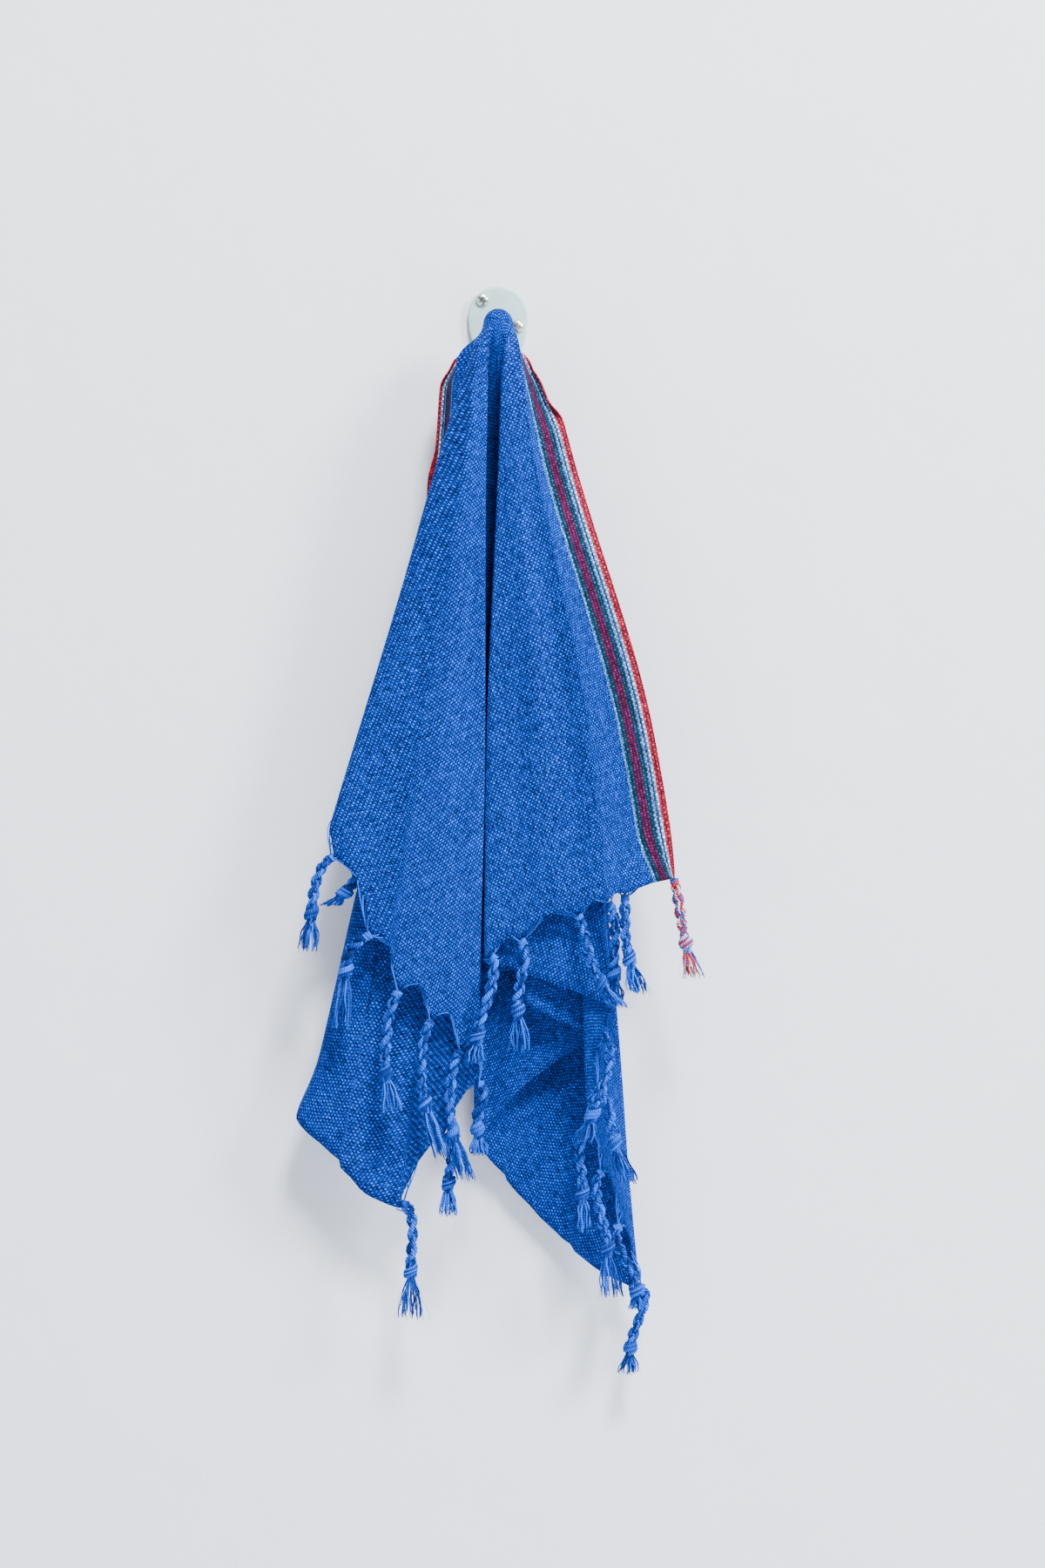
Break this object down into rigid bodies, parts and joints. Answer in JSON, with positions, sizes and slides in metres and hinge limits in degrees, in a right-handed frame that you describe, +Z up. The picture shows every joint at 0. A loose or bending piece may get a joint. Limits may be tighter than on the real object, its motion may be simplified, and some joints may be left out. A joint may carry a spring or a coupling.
{
  "type": "hand towel on a wall hook",
  "caption": "Blue woven cotton hand towel with a striped border and knotted fringe, hanging in deep folds from a ball hook on a wall plate.",
  "frame": {"origin": "on the wall plate's flat back face, 10 mm below the plate's widest level", "axes": "+Z up along the hanging towel, +Y out of the plate's back into the wall, +X to the right seen from the front"},
  "size_m": [0.2814, 0.0801, 0.7644],
  "materials": {
    "cotton_weave": "soft plain weave, striped along one edge",
    "cotton_yarn": "twisted yarn, frayed at its ends",
    "hook_plate": "satin",
    "screw_steel": "dull zinc"
  },
  "bodies": {
    "root": {"hook": "hook_plate", "screw_upper": "screw_steel", "screw_lower": "screw_steel", "towel": "cotton_weave", "tassel_right_1": "cotton_yarn", "tassel_right_2": "cotton_yarn", "tassel_right_3": "cotton_yarn", "tassel_right_4": "cotton_yarn", "tassel_right_5": "cotton_yarn", "tassel_right_6": "cotton_yarn", "tassel_right_7": "cotton_yarn", "tassel_right_8": "cotton_yarn", "tassel_right_9": "cotton_yarn", "tassel_right_10": "cotton_yarn", "tassel_right_11": "cotton_yarn", "tassel_right_12": "cotton_yarn", "tassel_left_1": "cotton_yarn", "tassel_left_2": "cotton_yarn", "tassel_left_3": "cotton_yarn", "tassel_left_4": "cotton_yarn", "tassel_left_5": "cotton_yarn", "tassel_left_6": "cotton_yarn", "tassel_left_7": "cotton_yarn", "tassel_left_8": "cotton_yarn", "tassel_left_9": "cotton_yarn", "tassel_left_10": "cotton_yarn", "tassel_left_11": "cotton_yarn", "tassel_left_12": "cotton_yarn", "tassel_left_13": "cotton_yarn", "tassel_left_14": "cotton_yarn"}
  },
  "joints": []
}
